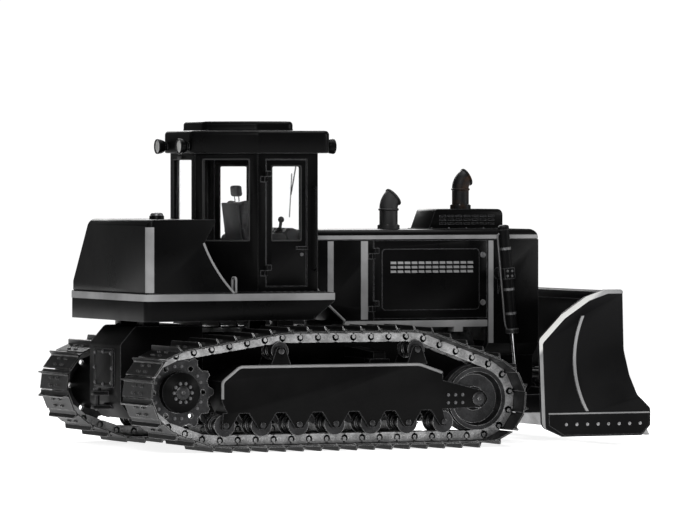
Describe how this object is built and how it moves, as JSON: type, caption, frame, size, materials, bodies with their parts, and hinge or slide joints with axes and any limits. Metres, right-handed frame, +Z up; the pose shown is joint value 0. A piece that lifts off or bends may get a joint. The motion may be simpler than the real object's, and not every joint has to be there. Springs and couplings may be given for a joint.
{
  "type": "crawler bulldozer",
  "caption": "Crawler bulldozer with a closed cab, wide tracks and a straight blade on an inside frame that lifts and tilts; its cab and engine doors open.",
  "frame": {"origin": "on the ground, under the middle of the machine's length and width", "axes": "+X to the front, +Y to the machine's left, +Z up"},
  "size_m": [5.5333, 3.26, 3.31],
  "materials": {
    "track_frames": "satin",
    "body_paint": "gloss",
    "blade_paint": "satin",
    "track_steel": "rough",
    "wheel_steel": "rough",
    "worn_edge": "worn",
    "engine_metal": "rough",
    "grille_bars": "satin",
    "stack_steel": "satin",
    "intake_plastic": "matte",
    "cylinder_paint": "gloss",
    "rod_chrome": "polished",
    "cab_panes": "clear",
    "seat_vinyl": "satin",
    "cab_trim": "matte",
    "lamp_glass": "gloss"
  },
  "bodies": {
    "root": {"track_frame_left": "track_frames", "track_frame_right": "track_frames", "final_drive_left": "track_frames", "final_drive_right": "track_frames", "rear_case": "track_frames", "main_frame": "track_frames", "pivot_shaft": "track_frames", "equalizer_bar": "track_frames", "platform": "body_paint", "fuel_tank": "body_paint", "cab_shell": "body_paint", "cab_roof": "body_paint", "hood_top": "body_paint", "cowl": "body_paint", "side_rails": "body_paint", "radiator_guard": "body_paint", "muffler_box": "body_paint", "track_left": "track_steel", "track_right": "track_steel", "track_rollers_left": "wheel_steel", "track_rollers_right": "wheel_steel", "carrier_rollers_left": "wheel_steel", "carrier_rollers_right": "wheel_steel", "idler_left": "wheel_steel", "idler_right": "wheel_steel", "sprocket_left": "wheel_steel", "sprocket_right": "wheel_steel", "engine": "engine_metal", "radiator_core": "engine_metal", "grille": "grille_bars", "exhaust_pipe": "stack_steel", "air_intake": "intake_plastic", "cab_glass": "cab_panes", "seat": "seat_vinyl", "seat_base": "cab_trim", "consoles": "cab_trim", "dashboard": "cab_trim", "work_lamps": "lamp_glass"},
    "cab_door_left": {"cab_door_left": "body_paint", "door_glass_left": "cab_panes"},
    "cab_door_right": {"cab_door_right": "body_paint", "door_glass_right": "cab_panes"},
    "engine_door_left": {"engine_door_left": "body_paint"},
    "engine_door_right": {"engine_door_right": "body_paint"},
    "blade_frame": {"c_frame": "blade_paint"},
    "blade": {"blade": "blade_paint", "cutting_edge": "worn_edge"},
    "lift_barrel_left": {"lift_barrel_left": "cylinder_paint"},
    "lift_barrel_right": {"lift_barrel_right": "cylinder_paint"},
    "lift_rod_left": {"lift_rod_left": "rod_chrome"},
    "lift_rod_right": {"lift_rod_right": "rod_chrome"},
    "tilt_barrel": {"tilt_barrel": "cylinder_paint"},
    "tilt_rod": {"tilt_rod": "rod_chrome"}
  },
  "joints": [
    {"name": "cab_door_left", "type": "hinge", "parent": "root", "child": "cab_door_left", "pos_m": [-1.128, 0.714, 2.3], "axis": [0, 0, 1], "range_deg": [0, 100]},
    {"name": "cab_door_right", "type": "hinge", "parent": "root", "child": "cab_door_right", "pos_m": [-1.128, -0.714, 2.3], "axis": [0, 0, -1], "range_deg": [0, 100]},
    {"name": "engine_door_left", "type": "hinge", "parent": "root", "child": "engine_door_left", "pos_m": [0.148, 0.534, 1.7], "axis": [0, 0, 1], "range_deg": [0, 100]},
    {"name": "engine_door_right", "type": "hinge", "parent": "root", "child": "engine_door_right", "pos_m": [0.148, -0.534, 1.7], "axis": [0, 0, -1], "range_deg": [0, 100]},
    {"name": "blade_lift", "type": "hinge", "parent": "root", "child": "blade_frame", "pos_m": [-0.875, 0, 0.6], "axis": [0, -1, 0], "range_deg": [-7, 15]},
    {"name": "blade_tilt", "type": "hinge", "parent": "blade_frame", "child": "blade", "pos_m": [2.25, 0, 0.48], "axis": [1, 0, 0], "range_deg": [-8, 8]},
    {"name": "lift_swing_left", "type": "hinge", "parent": "root", "child": "lift_barrel_left", "pos_m": [1.57, 0.712, 1.75], "axis": [0, -1, 0], "range_deg": [-2.5, 5]},
    {"name": "lift_slide_left", "type": "slide", "parent": "lift_barrel_left", "child": "lift_rod_left", "axis": [0.0945, 0, -0.9955], "range_m": [-0.69, 0.33]},
    {"name": "lift_swing_right", "type": "hinge", "parent": "root", "child": "lift_barrel_right", "pos_m": [1.57, -0.712, 1.75], "axis": [0, -1, 0], "range_deg": [-2.5, 5]},
    {"name": "lift_slide_right", "type": "slide", "parent": "lift_barrel_right", "child": "lift_rod_right", "axis": [0.0945, 0, -0.9955], "range_m": [-0.69, 0.33]},
    {"name": "tilt_swing", "type": "hinge", "parent": "blade_frame", "child": "tilt_barrel", "pos_m": [2.256, -0.365, 0.69], "axis": [1, 0, 0], "range_deg": [-5, 5]},
    {"name": "tilt_slide", "type": "slide", "parent": "tilt_barrel", "child": "tilt_rod", "axis": [0, 1, 0], "range_m": [-0.035, 0.035]}
  ],
  "couplings": [
    {"joint": "lift_swing_left", "follows": "blade_lift", "ratio": 0.279},
    {"joint": "lift_slide_left", "follows": "blade_lift", "m_per_rad": -2.562},
    {"joint": "lift_swing_right", "follows": "blade_lift", "ratio": 0.279},
    {"joint": "lift_slide_right", "follows": "blade_lift", "m_per_rad": -2.562},
    {"joint": "tilt_swing", "follows": "blade_tilt", "ratio": 0.535},
    {"joint": "tilt_slide", "follows": "blade_tilt", "m_per_rad": -0.21}
  ]
}
